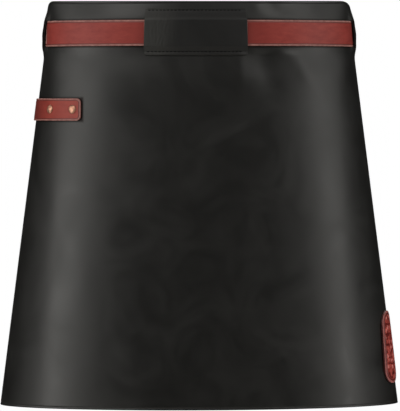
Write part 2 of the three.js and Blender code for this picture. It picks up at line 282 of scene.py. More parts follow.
# Adds one node: settings are its own properties, a ramp has rows of place and colour code, and sockets take
# values or other nodes' outputs
def addNode(tree, kind, sockets=None, ramp=(), **settings):
    node = tree.nodes.new(kind)
    for name, value in settings.items():
        setattr(node, name, value)
    for k, (at, code) in enumerate(ramp):
        node.color_ramp.elements[k].position = at
        node.color_ramp.elements[k].color = colour(code)
    for name, value in (sockets or {}).items():
        if isinstance(value, bpy.types.NodeSocket):
            tree.links.new(value, node.inputs[name])
        else:
            node.inputs[name].default_value = value
    return node


def newMaterial(name):
    material = bpy.data.materials.new(name)
    material.use_nodes = True
    tree = material.node_tree
    tree.nodes.clear()
    where = addNode(tree, "ShaderNodeTexCoord").outputs["Object"]
    return material, tree, where


def finishMaterial(tree, **sockets):
    shader = addNode(tree, "ShaderNodeBsdfPrincipled", {k.replace("_", " "): v for k, v in sockets.items()})
    addNode(tree, "ShaderNodeOutputMaterial", {"Surface": shader.outputs["BSDF"]})


# A pattern's scale from its size in mm
def perMm(size):
    return 1 / (size * mm)


# Full-grain cowhide, drum-dyed black and waxed: near black, soft wide shine, cloudy rub marks and fine pores.
# Beside the straps that lie on it the hide is painted darker, duller and a little red in a thin line: painted
# shade.
def waxedBlackCowhide(name, rub, shine, gloss, strapShade=None, paintedLitEnd=None):
    material, tree, where = newMaterial(name)
    clouds = addNode(tree, "ShaderNodeTexNoise", {"Vector": where, "Scale": perMm(70), "Detail": 4.0,
                                                  "Roughness": 0.6, "Distortion": 1.4}).outputs["Fac"]
    face = addNode(tree, "ShaderNodeValToRGB", {"Fac": clouds},
                   ramp=((0.36, rub[0]), (0.7, rub[1]))).outputs["Color"]
    dull = addNode(tree, "ShaderNodeMapRange", {"Value": clouds, "From Min": 0.3, "From Max": 0.72,
                                                "To Min": shine[0], "To Max": shine[1]}).outputs["Result"]
    pores = addNode(tree, "ShaderNodeTexVoronoi", {"Vector": where, "Scale": perMm(2.4)},
                    feature="SMOOTH_F1").outputs["Distance"]  # pores are finer, drawn coarse enough to show
    pits = addNode(tree, "ShaderNodeBump", {"Height": pores, "Strength": 0.06,
                                            "Distance": 0.2 * mm}).outputs["Normal"]
    creases = addNode(tree, "ShaderNodeTexNoise", {"Vector": where, "Scale": perMm(9),
                                                   "Detail": 3.0}).outputs["Fac"]
    skin = addNode(tree, "ShaderNodeBump", {"Height": creases, "Strength": 0.05, "Distance": 0.6 * mm,
                                            "Normal": pits}).outputs["Normal"]
    # painted shade: darker, duller hide in a thin line beside the straps
    if strapShade:
        shadeShare = strapShade(tree, where)
        face = addNode(tree, "ShaderNodeMix", {"Factor": shadeShare, 6: face, 7: colour("#120604")},
                       data_type="RGBA").outputs[2]
        gloss = addNode(tree, "ShaderNodeMapRange", {"Value": shadeShare, "To Min": gloss,
                                                     "To Max": 0.06}).outputs["Result"]
    if paintedLitEnd:  # painted highlight: paler from one place across to another, where the crinkled leather catches the light
        across = addNode(tree, "ShaderNodeSeparateXYZ", {"Vector": where}).outputs["X"]
        share = addNode(tree, "ShaderNodeMapRange", {"Value": across, "From Min": paintedLitEnd[0] * mm,
                                                     "From Max": paintedLitEnd[1] * mm}).outputs["Result"]
        face = addNode(tree, "ShaderNodeMix", {"Factor": share, 6: face, 7: colour(paintedLitEnd[2])},
                       data_type="RGBA").outputs[2]
    finishMaterial(tree, Base_Color=face, Roughness=dull, Normal=skin, Specular_IOR_Level=gloss)
    return material


# Flesh side of a hide: matt split fibres with a soft sheen, raised by their own nap or by finer fibres
def fleshSide(name, patch, shades, strength, fibre=None, **finish):
    material, tree, where = newMaterial(name)
    nap = addNode(tree, "ShaderNodeTexNoise", {"Vector": where, "Scale": perMm(patch), "Detail": 6.0,
                                               "Roughness": 0.7}).outputs["Fac"]
    face = addNode(tree, "ShaderNodeValToRGB", {"Fac": nap},
                   ramp=((0.3, shades[0]), (0.72, shades[1]))).outputs["Color"]
    if fibre:
        nap = addNode(tree, "ShaderNodeTexNoise", {"Vector": where, "Scale": perMm(fibre),
                                                   "Detail": 4.0}).outputs["Fac"]
    fur = addNode(tree, "ShaderNodeBump", {"Height": nap, "Strength": strength,
                                           "Distance": 0.6 * mm}).outputs["Normal"]
    finishMaterial(tree, Base_Color=face, Normal=fur, Sheen_Roughness=0.6, **finish)
    return material


# A thin trim whose colour only mottles, with a ramp over patches of a size in mm and the shader's own values
def mottledTrim(name, patch, detail, ramp, **finish):
    material, tree, where = newMaterial(name)
    mottle = addNode(tree, "ShaderNodeTexNoise", {"Vector": where, "Scale": perMm(patch),
                                                  "Detail": detail}).outputs["Fac"]
    face = addNode(tree, "ShaderNodeValToRGB", {"Fac": mottle}, ramp=ramp).outputs["Color"]
    finishMaterial(tree, Base_Color=face, **finish)
    return material


# Strap butt, tanned and dyed through in red-brown, glazed: even red with fine streaks and a soft gloss
def glazedRedStrap(name, shades, streak, shine, paintedShadeBands=(), mouths=(), paintedEndLine=None):
    material, tree, where = newMaterial(name)
    side = addNode(tree, "ShaderNodeSeparateXYZ", {"Vector": where}).outputs["X"]
    stretched = addNode(tree, "ShaderNodeMapping", {"Vector": where, "Scale": streak}).outputs["Vector"]
    streaks = addNode(tree, "ShaderNodeTexNoise", {"Vector": stretched, "Scale": perMm(16), "Detail": 5.0,
                                                   "Roughness": 0.62}).outputs["Fac"]
    face = addNode(tree, "ShaderNodeValToRGB", {"Fac": streaks},
                   ramp=((0.28, shades[0]), (0.74, shades[1]))).outputs["Color"]
    dull = addNode(tree, "ShaderNodeMapRange", {"Value": streaks, "To Min": shine[0],
                                                "To Max": shine[1]}).outputs["Result"]
    pores = addNode(tree, "ShaderNodeTexVoronoi", {"Vector": where, "Scale": perMm(2.2)},
                    feature="SMOOTH_F1").outputs["Distance"]  # drawn coarser than real pores, to show
    skin = addNode(tree, "ShaderNodeBump", {"Height": pores, "Strength": 0.08,
                                            "Distance": 0.3 * mm}).outputs["Normal"]
    for start, full, code in paintedShadeBands:  # painted shade: darker where the strap turns away round the hips or lies in less light by the tunnel
        across = addNode(tree, "ShaderNodeMath", {0: side}, operation="ABSOLUTE").outputs["Value"]
        share = addNode(tree, "ShaderNodeMapRange", {"Value": across, "From Min": start * mm,
                                                     "From Max": full * mm}).outputs["Result"]
        face = addNode(tree, "ShaderNodeMix", {"Factor": share, 6: face, 7: colour(code)},
                       data_type="RGBA").outputs[2]
    if paintedEndLine:  # painted highlight: a thin pale line on the strap at the tunnel's ends and the slit
        nearest = 1.0
        for end in mouths:
            off = addNode(tree, "ShaderNodeMath", {0: side, 1: end * mm},
                          operation="SUBTRACT").outputs["Value"]
            fromEnd = addNode(tree, "ShaderNodeMath", {0: off}, operation="ABSOLUTE").outputs["Value"]
            nearest = addNode(tree, "ShaderNodeMath", {0: fromEnd, 1: nearest},
                              operation="MINIMUM").outputs["Value"]
        share = addNode(tree, "ShaderNodeMapRange", {
            "Value": nearest, "From Min": paintedEndLine["full"] * mm, "From Max": paintedEndLine["reach"] * mm,
            "To Min": paintedEndLine["share"], "To Max": 0.0}).outputs["Result"]
        face = addNode(tree, "ShaderNodeMix", {"Factor": share, 6: face, 7: colour(paintedEndLine["colour"])},
                       data_type="RGBA").outputs[2]
    finishMaterial(tree, Base_Color=face, Roughness=dull, Normal=skin, Specular_IOR_Level=0.28)
    return material


# Rolled brass, tumbled bright or brushed: warm metal with a soft glint and slight dulling
def rolledBrass(name, shades, shine):
    material, tree, where = newMaterial(name)
    tarnish = addNode(tree, "ShaderNodeTexNoise", {"Vector": where, "Scale": perMm(3),
                                                   "Detail": 4.0}).outputs["Fac"]
    face = addNode(tree, "ShaderNodeValToRGB", {"Fac": tarnish},
                   ramp=((0.3, shades[0]), (0.7, shades[1]))).outputs["Color"]
    dull = addNode(tree, "ShaderNodeMapRange", {"Value": tarnish, "To Min": shine[0],
                                                "To Max": shine[1]}).outputs["Result"]
    finishMaterial(tree, Base_Color=face, Metallic=1.0, Roughness=dull)
    return material


# painted highlight: the patch paler toward its crinkled left end
patchHide = waxedBlackCowhide("waxedPatchCowhide", ("#0b0b0b", "#131312"), (0.48, 0.58), 0.42,
                              paintedLitEnd=(-22, -48, "#242422"))
# painted shade on the towel loop where it turns round the panel's side edge
redLoop = glazedRedStrap("glazedRedLoop", ("#8c342b", "#a24338"), (1, 1, 2), (0.42, 0.52),
                         paintedShadeBands=[(172, 198, "#54201f")])
redLabel = glazedRedStrap("tooledRedLabel", ("#741c17", "#cf6056"), (3, 3, 3), (0.4, 0.5))
rivetBrass = rolledBrass("tumbledBrass", ("#ae7863", "#d8a78d"), (0.38, 0.52))
claspBrass = rolledBrass("brushedBrass", ("#c49a6c", "#e0ba8a"), (0.45, 0.58))

# Inside of the panel and the tunnel: charcoal and a little furry; inside of the straps: tan-red
suede = fleshSide("charcoalSuede", 6, ("#2a2827", "#4a4643"), 0.35, 1.6, Roughness=0.95, Sheen_Weight=0.25)
redFlesh = fleshSide("redFleshSide", 4, ("#6b3c33", "#94604f"), 0.3, Roughness=0.92, Sheen_Weight=0.2)

# Cut edge of black hide, dyed and rubbed smooth: flat, with a dull shine. The tunnel patch's edge is painted
# paler, a painted highlight where its edge catches the light.
edgeFinish = {"Roughness": 0.6, "Specular_IOR_Level": 0.15}
blackEdge = mottledTrim("blackenedEdge", 4, 3.0, ((0, "#050505"), (1, "#0e0e0e")), **edgeFinish)
patchEdgeHighlight = mottledTrim("paintedPatchEdgeHighlight", 4, 3.0, ((0, "#262624"), (1, "#3b3a37")), **edgeFinish)

# Line pressed with a hot creasing iron: the leather is dense there, so it is even and a little dark
crease = mottledTrim("ironedCrease", 14, 2.0, ((0, "#111110"), (1, "#1a1a19")), Roughness=0.44,
                     Specular_IOR_Level=0.4)

# Bevelled raw edges of the red leather: the undyed core shows through, so pale dusty pink, partly a painted
# highlight along the edges. The label's raised tops get a paler pink, a painted highlight.
redEdge = mottledTrim("bevelledRawEdgeAndHighlight", 5, 4.0, ((0.3, "#84504a"), (0.7, "#a4736b")), Roughness=0.55)
labelRim = mottledTrim("bevelledLabelRimAndHighlight", 5, 4.0, ((0.3, "#8a4a47"), (0.7, "#b06662")), Roughness=0.55)
labelTopHighlight = mottledTrim("paintedLabelTopHighlight", 5, 4.0, ((0.3, "#b9605a"), (0.7, "#dd8a83")), Roughness=0.55)

# Pressed lines of the red leather: the dye gathers in them, so a darker red. The label's stamped hollows take
# a darker red as painted shade, and its side wall a dark red-brown as painted shade.
redCrease = mottledTrim("pressedRedCrease", 10, 3.0, ((0, "#5e211c"), (1, "#78302a")), Roughness=0.4)
labelCreaseAndHollowShade = mottledTrim("stampedCreaseAndPaintedHollowShade", 10, 3.0, ((0, "#4a110e"), (1, "#701c17")), Roughness=0.4)
labelWall = mottledTrim("shadedLabelWall", 10, 3.0, ((0, "#2e100d"), (1, "#451a15")), Roughness=0.4)

# Bonded polyester thread, black and waxed: a twisted cord with small dull lights
thread = mottledTrim("waxedBlackThread", 0.8, 2.0, ((0, "#050505"), (1, "#111111")), Roughness=0.7,
                     Specular_IOR_Level=0.1)
print("materials made")

# Camera: about five metres in front, a little below the belt, aimed slightly down
view = {
    "distance": 5.107,
    "height": -0.0816,
    "across": 0.0009,
    "downDeg": 1.3326,
    "lensMm": 382.2,
    "sensorMm": 36,
    "clipEnd": 100,
}
cameraData = bpy.data.cameras.new("frontCamera")
cameraData.lens = view["lensMm"]
cameraData.sensor_width = view["sensorMm"]
cameraData.clip_end = view["clipEnd"]
camera = bpy.data.objects.new("frontCamera", cameraData)
camera.location = (view["across"], -view["distance"], view["height"])
camera.rotation_euler = (math.radians(90 - view["downDeg"]), 0, 0)
bpy.context.scene.collection.objects.link(camera)
bpy.context.scene.camera = camera
print("camera set")

# Apron panel: one hide, cut wider to the hem, with two belt slits and two rivet holes
panel = {
    "thickness": 1.6,
    "top": 36.5,
    "hems": (-433.2, -430.9),
    "halfCutAtBelt": 237,
    "cutFlare": 0.1288,
    "topCorners": (37, 45),
    "hemCorner": 5,
    "cornerPoints": 25,
    "sidePoints": 120,
    "topPoints": 40,
    "edgeRound": 0.5,
    "crease": 2.7,
    "creaseHalf": 0.55,
    "creaseDepth": 0.4,
    "rimSlot": slotOf["field"],
    "margin": 0.5,
    "spacing": 3.4,
    "outlineStep": 1.5,
    "slitFromEdge": 32,
    "slitWidth": 8,
    "slitHalf": 14.2,
    "slitCorner": 1.2,
    "slitStep": 0.8,
    "liftHalf": 12,
    "liftEase": 18,
    "liftCrown": 0.8,
    "topRise": 1.6,
    "leanFrom": 14,
    "topLean": 0.2,
    # painted shade beside the straps: its reach in mm and its strength
    "paintedShadeReach": 2.6,
    "paintedShadeShare": 0.85,
    "cinch": 1.6,
    "cinchEase": 35,
    "hipFrom": 215,
    "hipEase": 45,
    # soft buckles beside the tunnel: along the front, up, half sizes, height out, lean
    "buckles": [
        (47, -42, 7, 28, 1.1, 0),
        (75, -38, 16, 26, -2.8, -0.12),
        (116, -33, 14, 24, 1.4, -0.6),
        (68, 33, 8, 12, 0.7, 0),
        (86, 31, 9, 11, -0.8, 0),
        (107, 31, 12, 12, 0.6, 0),
    ],
    "fadeBelow": 6,
    "fadeAbove": 8,
}


def halfCut(z):
    return panel["halfCutAtBelt"] + panel["cutFlare"] * ramp(-waist["bandHalf"] - z)


def buckleAt(s, z):
    height = 0
    for along, up, halfAlong, halfUp, out, lean in panel["buckles"]:
        sideways = (s - along - lean * (z - up)) / halfAlong
        upward = (z - up) / halfUp
        height = height + out * np.exp(-sideways ** 2 - upward ** 2)
    below = smooth((-waist["bandHalf"] - z) / panel["fadeBelow"])
    above = smooth((z - waist["bandHalf"]) / panel["fadeAbove"])
    return height * (below + above)


# The belt runs under the leather between slit and side edge and lifts it
def slitLift(s, z):
    fromEdge = halfCut(z) - np.abs(s)
    share = smooth((panel["slitFromEdge"] + panel["slitWidth"] / 2 - fromEdge) / panel["slitWidth"])
    fade = smooth(1 - (np.abs(z) - panel["liftHalf"]) / panel["liftEase"])
    crown = panel["liftCrown"] * smooth(1 - np.abs(z) / panel["liftHalf"])
    return ((belt["thickness"] + 2 * gap) * fade + crown) * share


# The belt cinches the front: the leather leans in above it and swells again below
def cinchAt(s, z):
    front = smooth((panel["hipFrom"] - np.abs(s)) / panel["hipEase"])
    below = panel["cinch"] * smooth((-waist["bandHalf"] - z) / panel["cinchEase"])
    return (below - panel["topLean"] * ramp(z - panel["leanFrom"])) * front


def layPanel(s, z, n):
    return place(s, z, n + slitLift(s, z) + buckleAt(s, z) + cinchAt(s, z))


# Painted shade on the panel: highest right beside the belt, the towel strap and the label, 0 past a short
# reach
def paintedStrapShade(tree, where):
    spot = addNode(tree, "ShaderNodeSeparateXYZ", {"Vector": where}).outputs
    strapEnd = float(place(-towelLoop["frontEnd"], towelLoop["height"], panel["thickness"])[0])
    tall = label["height"] / 2
    low, high = (layLabel(-label["width"] / 2, part * tall, 0) for part in (-0.5, 0.5))
    slope = float((high - low)[0] / (high - low)[2])
    found = {"x": spot["X"], "z": spot["Z"]}
    sums = [
        ("beltUp", "ABSOLUTE", "z"),
        ("fromBelt", "SUBTRACT", "beltUp", belt["width"] / 2 * mm),
        ("strapUp", "SUBTRACT", "z", towelLoop["height"] * mm),
        ("strapAway", "ABSOLUTE", "strapUp"),
        ("fromStrapSide", "SUBTRACT", "strapAway", towelLoop["width"] / 2 * mm),
        ("fromStrapEnd", "SUBTRACT", "x", strapEnd),
        ("fromStrap", "MAXIMUM", "fromStrapSide", "fromStrapEnd"),
        ("labelSide", "MULTIPLY_ADD", "z", slope, float(low[0] - slope * low[2])),
        ("labelAcross", "SUBTRACT", "labelSide", "x"),
        ("fromLabelSide", "ABSOLUTE", "labelAcross"),
        ("labelUp", "SUBTRACT", "z", label["centreZ"] * mm),
        ("labelAway", "ABSOLUTE", "labelUp"),
        ("fromLabelEnd", "SUBTRACT", "labelAway", (tall - label["corner"]) * mm),
        ("fromLabel", "MAXIMUM", "fromLabelSide", "fromLabelEnd"),
        ("fromStraps", "MINIMUM", "fromBelt", "fromStrap"),
        ("nearest", "MINIMUM", "fromStraps", "fromLabel"),
    ]
    for name, operation, *values in sums:
        sockets = {k: found.get(value, value) for k, value in enumerate(values)}
        found[name] = addNode(tree, "ShaderNodeMath", sockets, operation=operation).outputs["Value"]
    return addNode(tree, "ShaderNodeMapRange", {
        "Value": found["nearest"], "From Max": panel["paintedShadeReach"] * mm, "To Min": panel["paintedShadeShare"],
        "To Max": 0.0}).outputs["Result"]


# One side of the outline, from the hem's corner up and in to the top's middle
def sideOutline(topR, hem):
    turn = np.radians(np.linspace(0, 90, panel["cornerPoints"]))
    hemR = panel["hemCorner"]
    hemUp = hem + hemR * (1 - np.cos(turn))
    hemAcross = halfCut(hemUp) - hemR * (1 - np.sin(turn))
    sideUp = np.linspace(hemUp[-1], panel["top"] - topR, panel["sidePoints"])[1:-1]
    topUp = panel["top"] + panel["topRise"] - topR * (1 - np.sin(turn))
    topAcross = halfCut(topUp) - topR * (1 - np.cos(turn))
    share = np.linspace(1, 0, panel["topPoints"])[1:]
    across = np.r_[hemAcross, halfCut(sideUp), topAcross, share * topAcross[-1]]
    return np.stack([across, np.r_[hemUp, sideUp, topUp, panel["top"] + panel["topRise"] * share ** 2]], 1)


def panelOutline():
    left, right = (sideOutline(topR, hem) for topR, hem in zip(panel["topCorners"], panel["hems"]))
    return evenLoop(np.vstack([right, left[-2::-1] * (-1, 1)]), panel["outlineStep"])


def makePanel():
    hide = waxedBlackCowhide("waxedBlackCowhide", ("#131312", "#1c1c1b"), (0.36, 0.46), 0.5, paintedStrapShade)
    holes = []
    slitAt = panel["halfCutAtBelt"] - panel["slitFromEdge"]
    half = panel["slitWidth"] / 2
    for side in (-1, 1):
        holes.append(roundedRectangle(side * slitAt - half, -panel["slitHalf"], side * slitAt + half,
                                      panel["slitHalf"], panel["slitCorner"], panel["slitStep"]))
    holes += [circle(-along, rivet["height"], rivet["hole"]) for along in rivet["along"]]
    outline = panelOutline()
    made = cutPiece("apronPanel", panel, outline, holes, layPanel, [hide, suede, blackEdge, crease])
    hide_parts("apron_panel")


# A strap follows a path of (along, out) points: across is the length on it, up the place on the width
strapPath = {"step": 0.5, "turnPoints": 25}


def strapLay(path, thickness, height):
    path = np.asarray(path, float)
    lengths = np.r_[0, np.cumsum(np.linalg.norm(np.diff(path, axis=0), axis=1))]
    ahead = np.gradient(path, lengths, axis=0)
    ahead /= np.linalg.norm(ahead, axis=1)[:, None]
    columns = [*path.T, *ahead.T]

    def lay(across, up, n):
        s, out, aheadS, aheadOut = (np.interp(across, lengths, column) for column in columns)
        off = n - thickness / 2
        alongS = s - aheadOut * off
        return place(alongS, height + up, out + aheadS * off + cinchAt(alongS, height + up))

    return lay, lengths


def halfTurn(centreS, centreOut, radius):
    angles = np.linspace(np.pi / 2, -np.pi / 2, strapPath["turnPoints"])
    return np.stack([centreS + radius * np.cos(angles), centreOut + radius * np.sin(angles)], 1)


# Clasp at the back: a plain plate with a slot near each end
clasp = {
    "width": 46,
    "height": 40,
    "thickness": 3,
    "corner": 5,
    "standOff": 4.2,
    "slotWidth": 5,
    "slotHeight": 32,
    "slotCorner": 0.5,
    "slotStep": 0.5,
    "bar": 5,
    "room": 0.5,
    "edgeRound": 0.6,
    "margin": 0.5,
    "spacing": 2.5,
    "outlineStep": 0.9,
}


def makeClasp():
    half = clasp["width"] / 2
    tall = clasp["height"] / 2
    outline = roundedRectangle(-half, -tall, half, tall, clasp["corner"], clasp["outlineStep"])
    slotAt = half - clasp["bar"] - clasp["slotWidth"] / 2
    low = -clasp["slotHeight"] / 2
    holes = []
    for side in (-1, 1):
        left = side * slotAt - clasp["slotWidth"] / 2
        holes.append(roundedRectangle(left, low, left + clasp["slotWidth"], -low, clasp["slotCorner"],
                                      clasp["slotStep"]))
    tilt = math.atan(drape["frontLean"])

    def lay(across, up, n):
        out = clasp["standOff"] + n
        y = section(0)[1] + out * math.cos(tilt) - up * math.sin(tilt)
        z = out * math.sin(tilt) + up * math.cos(tilt)
        return np.stack([-across, y, z], -1) * mm

    made = cutPiece("beltClasp", clasp, outline, holes, lay, [claspBrass] * 3)
    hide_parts("belt_clasp")


# Belt: over the panel in front, in through the slits, round the back and folded through the clasp
belt = {
    "width": 30,
    "thickness": 2.6,
    "edgeRound": 1.0,
    "crease": 2.5,
    "creaseHalf": 0.6,
    "creaseDepth": 0.35,
    "rimSlot": slotOf["edge"],
    "margin": 0.4,
    "endCorner": 4,
    "spacing": 2.2,
    "outlineStep": 1.5,
    "foldLength": 42,
    "doubleEase": 44,
    "girthPoints": 4001,
    # painted shade: the belt darker toward its ends round the hips and toward the tunnel
    "paintedShadeBands": [(169, 191, "#54201f"), (98, 40, "#752b26")],
    # painted highlight: a thin pale line where the belt meets the tunnel's ends and the slit
    "paintedEndLine": {"full": 0.5, "reach": 1.2, "share": 0.8, "colour": "#a97d75"},
}


# Half the way round the waist at the belt
def halfGirth():
    angles = np.linspace(0, np.pi, belt["girthPoints"])
    a, b = section(-waist["bandHalf"])
    speed = np.hypot(a * np.cos(angles), b * np.sin(angles))
    return float(np.sum((speed[1:] + speed[:-1]) / 2 * np.diff(angles)))


def beltPath():
    over = panel["thickness"] + gap + belt["thickness"] / 2
    under = gap + belt["thickness"] / 2
    slitAt = panel["halfCutAtBelt"] - panel["slitFromEdge"]
    turnAt = halfGirth() - (clasp["width"] / 2 - clasp["bar"]) + gap
    curveDrop = section(0)[1] - place(turnAt, 0, 0)[1] / mm
    barMiddle = clasp["standOff"] + clasp["thickness"] / 2 + curveDrop
    turnRadius = clasp["thickness"] / 2 + clasp["room"] + belt["thickness"] / 2
    foldEnd = turnAt - belt["foldLength"]
    doubleFrom = foldEnd - belt["doubleEase"]
    s = np.arange(0, turnAt, strapPath["step"])
    out = over + (under - over) * smooth((s - slitAt) / panel["slitWidth"] + 0.5)
    out += (barMiddle + turnRadius - under) * smooth((s - doubleFrom) / belt["doubleEase"])
    back = np.arange(turnAt, foldEnd, -strapPath["step"])[1:]
    inner = np.stack([back, np.full(len(back), barMiddle - turnRadius)], 1)
    half = np.vstack([np.stack([s, out], 1), halfTurn(turnAt, barMiddle, turnRadius), inner])
    return np.vstack([half[:0:-1] * (-1, 1), half])


def makeBelt():
    slitEnd = panel["halfCutAtBelt"] - panel["slitFromEdge"] + panel["slitWidth"]
    over = panel["thickness"] + gap
    mouths = [float(place(s, 0, over)[0]) / mm for s in (-slitEnd, tunnel["left"], tunnel["right"])]
    redStrap = glazedRedStrap("glazedRedStrap", ("#88302a", "#9e4038"), (1, 1, 3), (0.42, 0.52),
                              belt["paintedShadeBands"], mouths, belt["paintedEndLine"])
    lay, lengths = strapLay(beltPath(), belt["thickness"], 0)
    half = belt["width"] / 2
    outline = roundedRectangle(0, -half, lengths[-1], half, belt["endCorner"], belt["outlineStep"])
    made = cutPiece("beltStrap", belt, outline, [], lay, [redStrap, redFlesh, redEdge, redCrease])
    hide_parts("belt")


# Belt tunnel: a patch over the belt at the front middle, sewn above and below it
tunnel = {
    "left": -63,
    "right": 55,
    "top": 28.2,
    "bottom": -25.8,
    "thickness": 1.4,
    "riseTo": 15.2,
    "fromSeam": 1.2,
    "ease": 0.3,
    "bow": 0.8,
    "bowAt": 10,
    "corner": 1.8,
    "edgeRound": 0.5,
    "margin": 0.8,
    "spacing": 1.1,
    "outlineStep": 0.9,
    "seams": (26, -21.6),
    "seamDepth": 0.35,
    "seamHalf": 0.9,
    "crinkle": 0.09,
    "crinkleAt": -46,
    "crinkleHalf": 18,
    # each wave's rate along the belt, sway, bend of the sway and pulse upwards
    "crinkleWaves": ((1.9, 1.6, 0.33, 0.27), (1.17, 2.2, 0.21, -0.19), (2.6, 1.2, 0.5, 0.41)),
    "crinkleSpread": 3,
}
stitch = {
    "length": 3.3,
    "pitch": 4.4,
    "radius": 0.5,
    "endShare": 0.45,
    "bulge": 0.4,
    "sunk": 0.15,
    "sides": 8,
    "rings": 9,
    "fromEnd": 3,
}


# The leather slopes evenly from each seam up to the belt's edge, and bows out a little over the belt
def layTunnel(s, z, n):
    foot = np.where(z > 0, tunnel["seams"][0], -tunnel["seams"][1]) - tunnel["fromSeam"]
    share = np.clip((foot - np.abs(z)) / (foot - tunnel["riseTo"]), 0, 1)
    bow = tunnel["bow"] * (1 - ((s - tunnel["bowAt"]) / (tunnel["bowAt"] - tunnel["left"])) ** 2)
    rise = (belt["thickness"] + gap + bow) * ((1 - tunnel["ease"]) * share + tunnel["ease"] * smooth(share))
    return place(s, z, panel["thickness"] + gap + rise + n + cinchAt(s, z) + buckleAt(s, z))


# The face sinks along the seams and is crinkled across near the left end
def tunnelRelief(s, z):
    seams = sum(np.exp(-((z - seam) / tunnel["seamHalf"]) ** 2) for seam in tunnel["seams"])
    waves = 0
    for rate, sway, bend, pulse in tunnel["crinkleWaves"]:
        swell = np.sin(pulse * z + rate / tunnel["crinkleSpread"] * s)
        waves = waves + np.sin(rate * s + sway * np.sin(bend * z)) * swell
    crinkles = tunnel["crinkle"] * waves * np.exp(-((s - tunnel["crinkleAt"]) / tunnel["crinkleHalf"]) ** 2)
    return crinkles - tunnel["seamDepth"] * seams


def makeTunnel():
    outline = roundedRectangle(tunnel["left"], tunnel["bottom"], tunnel["right"], tunnel["top"],
                               tunnel["corner"], tunnel["outlineStep"])
    made = cutPiece("beltTunnel", tunnel, outline, [], layTunnel, [patchHide, suede, patchEdgeHighlight], tunnelRelief)
    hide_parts("belt_tunnel")


# Each stitch is a short round of thread that dips into the leather at both ends, outside and inside
def makeStitches():
    points = []
    faces = []
    sides = stitch["sides"]
    turn = np.linspace(0, 2 * np.pi, sides, endpoint=False)
    share = np.linspace(0, 1, stitch["rings"])
    face = tunnel["thickness"] - tunnel["seamDepth"]
    lastStart = tunnel["right"] - stitch["fromEnd"] - stitch["length"]
    starts = np.arange(tunnel["left"] + stitch["fromEnd"], lastStart, stitch["pitch"])
    for seam in tunnel["seams"]:
        for start in starts:
            for inside in (False, True):
                first = len(points)
                for t in share:
                    fat = math.sin(math.pi * t) ** 0.5
                    thin = stitch["radius"] * (stitch["endShare"] + (1 - stitch["endShare"]) * fat)
                    hump = stitch["bulge"] * math.sin(math.pi * t) - stitch["sunk"]
                    across = np.full_like(turn, start + stitch["length"] * t)
                    up = seam + thin * np.cos(turn)
                    if inside:
                        ring = layPanel(across, up, -hump - thin * np.sin(turn))[::-1]
                    else:
                        ring = layTunnel(across, up, face + hump + thin * np.sin(turn))
                    points += ring.tolist()
                for k in range(stitch["rings"] - 1):
                    a = first + k * sides
                    b = a + sides
                    for j in range(sides):
                        after = (j + 1) % sides
                        faces.append((a + j, b + j, b + after, a + after))
                faces.append(tuple(first + j for j in range(sides)))
                end = first + (stitch["rings"] - 1) * sides
                faces.append(tuple(end + j for j in reversed(range(sides))))
    made = addMesh("tunnelStitches", points, faces, [thread])


# Towel loop: a strap riveted at the left hip, past the side edge in a loop and back inside the panel
towelLoop = {
    "width": 25.8,
    "thickness": 2.4,
    "height": -88,
    "frontEnd": 139.4,
    "pastEdge": 38,
    "loopRadius": 9.5,
    "closeBeforeEdge": 8,
    "corner": 5.5,
    "edgeRound": 0.9,
    "crease": 2.3,
    "creaseHalf": 0.6,
    "creaseDepth": 0.3,
    "rimSlot": slotOf["edge"],
    "margin": 0.4,
    "spacing": 2.0,
    "outlineStep": 1.1,
}


def towelPath():
    outside = panel["thickness"] + gap + towelLoop["thickness"] / 2
    inside = -gap - towelLoop["thickness"] / 2
    edge = halfCut(towelLoop["height"])
    turnAt = edge + towelLoop["pastEdge"]
    innerAtTurn = outside - 2 * towelLoop["loopRadius"]
    closed = edge - towelLoop["closeBeforeEdge"]
    s = np.arange(towelLoop["frontEnd"], turnAt, strapPath["step"])
    back = innerAtTurn + (inside - innerAtTurn) * smooth((turnAt - s) / (turnAt - closed))
    turn = halfTurn(turnAt, outside - towelLoop["loopRadius"], towelLoop["loopRadius"])
    front = np.stack([s, np.full(len(s), outside)], 1)
    path = np.vstack([np.stack([s, back], 1), turn[::-1], front[::-1]])
    return path * (-1, 1), len(s)


def makeTowelLoop():
    path, stretch = towelPath()
    lay, lengths = strapLay(path, towelLoop["thickness"], towelLoop["height"])
    holes = []
    for along in rivet["along"]:
        insideAt = np.interp(along, -path[:stretch, 0], lengths[:stretch])
        outsideAt = np.interp(-along, path[-stretch:, 0], lengths[-stretch:])
        holes += [circle(insideAt, 0, rivet["hole"]), circle(outsideAt, 0, rivet["hole"])]
    half = towelLoop["width"] / 2
    outline = roundedRectangle(0, -half, lengths[-1], half, towelLoop["corner"], towelLoop["outlineStep"])
    made = cutPiece("towelLoop", towelLoop, outline, holes, lay, [redLoop, redFlesh, redEdge, redCrease])
    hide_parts("towel_loop")


# Rivets: a flat cap inside, a shank, and outside a domed head with a thin rolled rim
rivet = {
    "along": (150, 184.1),
    "height": towelLoop["height"],
    "hole": 1.7,
    "shank": 1.5,
    "cap": [(0.05, 1.2), (3.3, 1.2), (3.85, 0.75), (4, 0.35), (3.9, 0)],  # radius, depth inside the strap
    "rim": [(4.85, 0), (5, 0.2), (4.9, 0.5)],  # radius, height on the strap
    "domeRadius": 4.65,
    "domeRise": 1.4,
    "domeEndDeg": 86,
    "domeSteps": 14,
    "sides": 40,
}


